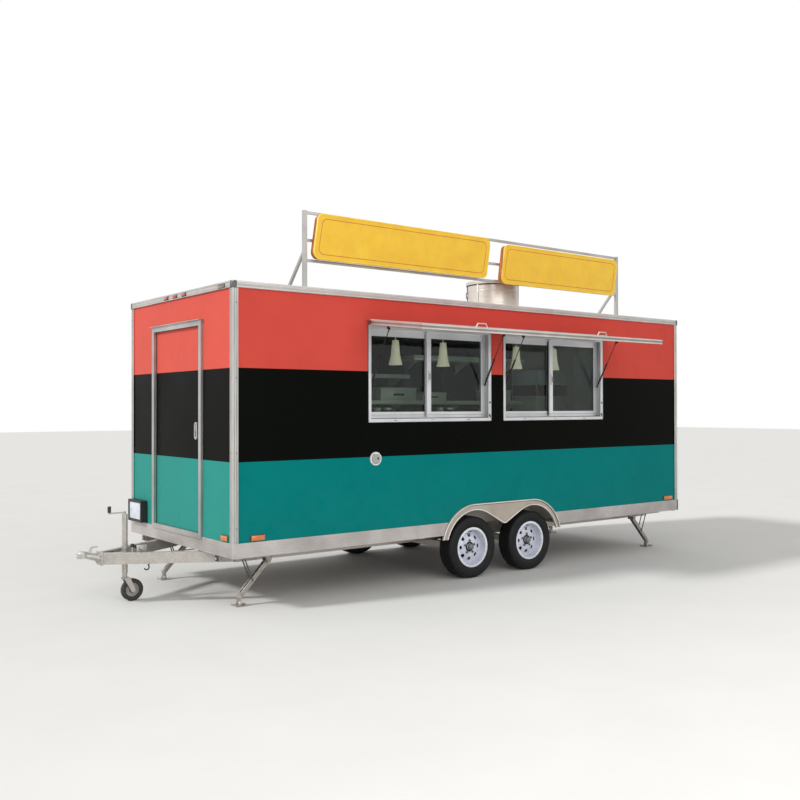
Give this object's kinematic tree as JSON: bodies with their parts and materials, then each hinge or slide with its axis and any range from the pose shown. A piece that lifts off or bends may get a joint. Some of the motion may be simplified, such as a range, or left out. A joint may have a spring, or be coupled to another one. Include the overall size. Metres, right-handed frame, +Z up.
{
  "type": "tandem-axle food concession trailer",
  "caption": "Box-bodied towed food trailer on two axles, with an A-frame drawbar, a serving hatch over sliding windows, an end door, folding corner legs and a roof sign frame.",
  "frame": {"origin": "middle of the trailer's whole outline, on the ground", "axes": "+X to the rear, the drawbar points to -X; -Y is the serving side; +Z up"},
  "size_m": [6.749, 2.9364, 3.412],
  "materials": {
    "floor_board": "matt",
    "panel_paint": "gloss",
    "roof_white": "satin",
    "aluminium": "satin",
    "skirt_aluminium": "brushed",
    "galvanised": "galvanised",
    "cast_zinc": "zinc plated",
    "fender_steel": "satin",
    "window_aluminium": "satin",
    "glass": "clear",
    "strut_black": "satin",
    "strut_rod": "polished",
    "tyre": "matt",
    "wheel_white": "gloss",
    "jockey_rubber": "matt",
    "vent_steel": "satin",
    "sign_yellow": "satin",
    "amber_lens": "clear lens",
    "red_lens": "clear lens",
    "black_plastic": "matt",
    "white_plastic": "gloss",
    "steel_inside": "brushed",
    "shade_cream": "satin"
  },
  "bodies": {
    "trailer": {"amber_lamps": "amber_lens", "axles": "galvanised", "cabinets": "steel_inside", "chassis": "galvanised", "corner_posts": "aluminium", "counter": "steel_inside", "coupling": "cast_zinc", "cross_members": "galvanised", "door_frame": "aluminium", "drawbar": "galvanised", "fenders": "fender_steel", "floor": "floor_board", "hatch_hinge": "aluminium", "inlet": "white_plastic", "jockey_mast": "galvanised", "leg_bases": "galvanised", "pendants": "shade_cream", "plate_box": "black_plastic", "red_lamps": "red_lens", "roof": "roof_white", "roof_rail": "aluminium", "roof_vent": "vent_steel", "sign_boards": "sign_yellow", "sign_frame": "aluminium", "skirt": "skirt_aluminium", "wall_far": "panel_paint", "wall_front": "panel_paint", "wall_rear": "panel_paint", "wall_serving": "panel_paint", "wheel_boxes": "galvanised", "window_casings": "window_aluminium", "window_glass": "glass", "window_sashes": "window_aluminium"},
    "door": {"door": "panel_paint", "door_latch": "aluminium"},
    "hatch": {"hatch": "panel_paint", "strut_brackets": "strut_black"},
    "strut_barrels": {"strut_barrels": "strut_black"},
    "strut_rods": {"strut_rods": "strut_rod"},
    "wheel_front_serving": {"tyre_front_serving": "tyre", "rim_front_serving": "wheel_white"},
    "wheel_front_far": {"tyre_front_far": "tyre", "rim_front_far": "wheel_white"},
    "wheel_rear_serving": {"tyre_rear_serving": "tyre", "rim_rear_serving": "wheel_white"},
    "wheel_rear_far": {"tyre_rear_far": "tyre", "rim_rear_far": "wheel_white"},
    "jockey_stem": {"jockey_stem": "galvanised"},
    "jockey_fork": {"jockey_fork": "galvanised"},
    "jockey_wheel": {"jockey_wheel": "jockey_rubber"},
    "leg_front_serving": {"leg_front_serving": "galvanised"},
    "brace_front_serving": {"brace_front_serving": "galvanised"},
    "leg_front_far": {"leg_front_far": "galvanised"},
    "brace_front_far": {"brace_front_far": "galvanised"},
    "leg_rear_serving": {"leg_rear_serving": "galvanised"},
    "brace_rear_serving": {"brace_rear_serving": "galvanised"},
    "leg_rear_far": {"leg_rear_far": "galvanised"},
    "brace_rear_far": {"brace_rear_far": "galvanised"}
  },
  "joints": [
    {"name": "wheel_front_serving_spin", "type": "hinge", "parent": "trailer", "child": "wheel_front_serving", "pos_m": [0.1215, -0.57801, 0.3], "axis": [0, 1, 0], "continuous": true},
    {"name": "wheel_front_far_spin", "type": "hinge", "parent": "trailer", "child": "wheel_front_far", "pos_m": [0.1215, 1.34099, 0.3], "axis": [0, 1, 0], "continuous": true},
    {"name": "wheel_rear_serving_spin", "type": "hinge", "parent": "trailer", "child": "wheel_rear_serving", "pos_m": [0.9085, -0.57801, 0.3], "axis": [0, 1, 0], "continuous": true},
    {"name": "wheel_rear_far_spin", "type": "hinge", "parent": "trailer", "child": "wheel_rear_far", "pos_m": [0.9085, 1.34099, 0.3], "axis": [0, 1, 0], "continuous": true},
    {"name": "jockey_lift", "type": "slide", "parent": "trailer", "child": "jockey_stem", "axis": [0, 0, 1], "range_m": [-0.15, 0.03]},
    {"name": "jockey_swivel", "type": "hinge", "parent": "jockey_stem", "child": "jockey_fork", "pos_m": [-2.9635, 0.38149, 0.206], "axis": [0, 0, 1], "continuous": true},
    {"name": "jockey_spin", "type": "hinge", "parent": "jockey_fork", "child": "jockey_wheel", "pos_m": [-2.8995, 0.38149, 0.095], "axis": [0, 1, 0], "continuous": true},
    {"name": "door_hinge", "type": "hinge", "parent": "trailer", "child": "door", "pos_m": [-2.4285, 0.88349, 1.48], "axis": [0, 0, 1], "range_deg": [0, 90]},
    {"name": "hatch_hinge", "type": "hinge", "parent": "trailer", "child": "hatch", "pos_m": [0.4345, -0.73651, 2.441], "axis": [1, 0, 0], "range_deg": [0, 83.3]},
    {"name": "strut_swing", "type": "hinge", "parent": "trailer", "child": "strut_barrels", "pos_m": [0.4345, -0.65451, 1.888], "axis": [1, 0, 0], "range_deg": [-26.97, 0]},
    {"name": "strut_slide", "type": "slide", "parent": "strut_barrels", "child": "strut_rods", "axis": [0, -0.4921, 0.8705], "range_m": [-0.1712, 0]},
    {"name": "leg_front_serving_fold", "type": "hinge", "parent": "trailer", "child": "leg_front_serving", "pos_m": [-2.0085, -0.38851, 0.356], "axis": [0, 1, 0], "range_deg": [0, 46]},
    {"name": "brace_front_serving_swing", "type": "hinge", "parent": "leg_front_serving", "child": "brace_front_serving", "pos_m": [-2.15617, -0.38851, 0.19974], "axis": [0, 1, 0], "range_deg": [-98.76, 0]},
    {"name": "leg_front_far_fold", "type": "hinge", "parent": "trailer", "child": "leg_front_far", "pos_m": [-2.0085, 1.15149, 0.356], "axis": [0, 1, 0], "range_deg": [0, 46]},
    {"name": "brace_front_far_swing", "type": "hinge", "parent": "leg_front_far", "child": "brace_front_far", "pos_m": [-2.15617, 1.15149, 0.19974], "axis": [0, 1, 0], "range_deg": [-98.76, 0]},
    {"name": "leg_rear_serving_fold", "type": "hinge", "parent": "trailer", "child": "leg_rear_serving", "pos_m": [2.8765, -0.38851, 0.356], "axis": [0, -1, 0], "range_deg": [0, 46]},
    {"name": "brace_rear_serving_swing", "type": "hinge", "parent": "leg_rear_serving", "child": "brace_rear_serving", "pos_m": [3.02417, -0.38851, 0.19974], "axis": [0, -1, 0], "range_deg": [-98.76, 0]},
    {"name": "leg_rear_far_fold", "type": "hinge", "parent": "trailer", "child": "leg_rear_far", "pos_m": [2.8765, 1.15149, 0.356], "axis": [0, -1, 0], "range_deg": [0, 46]},
    {"name": "brace_rear_far_swing", "type": "hinge", "parent": "leg_rear_far", "child": "brace_rear_far", "pos_m": [3.02417, 1.15149, 0.19974], "axis": [0, -1, 0], "range_deg": [-98.76, 0]}
  ],
  "couplings": [
    {"joint": "strut_swing", "follows": "hatch_hinge", "ratio": -0.32357},
    {"joint": "strut_slide", "follows": "hatch_hinge", "m_per_rad": -0.1177},
    {"joint": "brace_front_serving_swing", "follows": "leg_front_serving_fold", "ratio": -2.1459},
    {"joint": "brace_front_far_swing", "follows": "leg_front_far_fold", "ratio": -2.1459},
    {"joint": "brace_rear_serving_swing", "follows": "leg_rear_serving_fold", "ratio": -2.1459},
    {"joint": "brace_rear_far_swing", "follows": "leg_rear_far_fold", "ratio": -2.1459}
  ]
}
